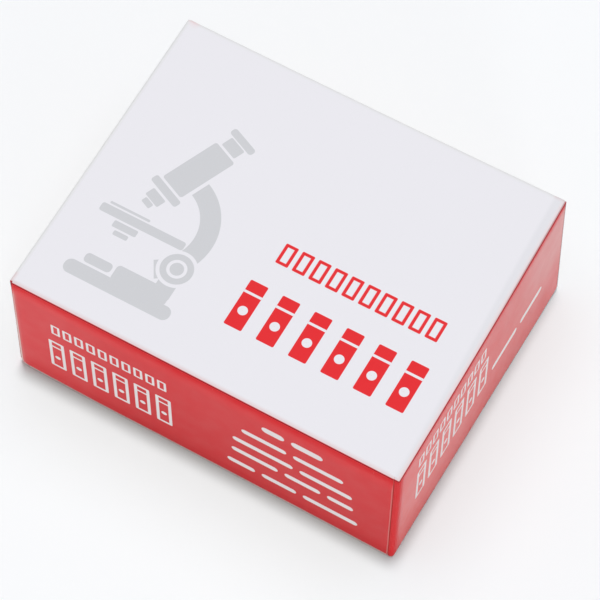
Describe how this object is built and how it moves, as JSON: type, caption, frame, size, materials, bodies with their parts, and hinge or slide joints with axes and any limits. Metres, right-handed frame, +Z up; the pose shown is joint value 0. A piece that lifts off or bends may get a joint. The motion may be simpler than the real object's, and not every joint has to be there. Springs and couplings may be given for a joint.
{
  "type": "box of microscope slides",
  "caption": "Lift-off-lid paperboard box holding a row of plain glass microscope slides, which stand on their long edges on a thin cushion pad.",
  "frame": {"origin": "centre of the footprint, on the surface the tray stands on", "axes": "+X along the long side and the length of each slide, +Y from the front wall to the back wall, +Z up through the lid"},
  "size_m": [0.08, 0.0642, 0.033],
  "materials": {
    "printed_board": "varnished printed paperboard, red with a white top panel",
    "plain_board": "plain off-white paperboard",
    "pad_foam": "soft white foam sheet",
    "slide_glass": "clear polished faces with frosted ground edges"
  },
  "bodies": {
    "base": {"tray": "plain_board", "cushion_pad": "pad_foam", "slide_01": "slide_glass", "slide_02": "slide_glass", "slide_03": "slide_glass", "slide_04": "slide_glass", "slide_05": "slide_glass", "slide_06": "slide_glass", "slide_07": "slide_glass", "slide_08": "slide_glass", "slide_09": "slide_glass", "slide_10": "slide_glass", "slide_11": "slide_glass", "slide_12": "slide_glass", "slide_13": "slide_glass", "slide_14": "slide_glass", "slide_15": "slide_glass", "slide_16": "slide_glass", "slide_17": "slide_glass", "slide_18": "slide_glass", "slide_19": "slide_glass", "slide_20": "slide_glass", "slide_21": "slide_glass", "slide_22": "slide_glass", "slide_23": "slide_glass", "slide_24": "slide_glass", "slide_25": "slide_glass", "slide_26": "slide_glass", "slide_27": "slide_glass", "slide_28": "slide_glass", "slide_29": "slide_glass", "slide_30": "slide_glass", "slide_31": "slide_glass", "slide_32": "slide_glass", "slide_33": "slide_glass", "slide_34": "slide_glass", "slide_35": "slide_glass", "slide_36": "slide_glass", "slide_37": "slide_glass", "slide_38": "slide_glass", "slide_39": "slide_glass", "slide_40": "slide_glass", "slide_41": "slide_glass", "slide_42": "slide_glass", "slide_43": "slide_glass", "slide_44": "slide_glass", "slide_45": "slide_glass", "slide_46": "slide_glass", "slide_47": "slide_glass", "slide_48": "slide_glass", "slide_49": "slide_glass", "slide_50": "slide_glass"},
    "lid": {"lid": "printed_board"}
  },
  "joints": [
    {"name": "lid_lift", "type": "slide", "parent": "base", "child": "lid", "axis": [0, 0, 1], "range_m": [0, 0.06]}
  ]
}
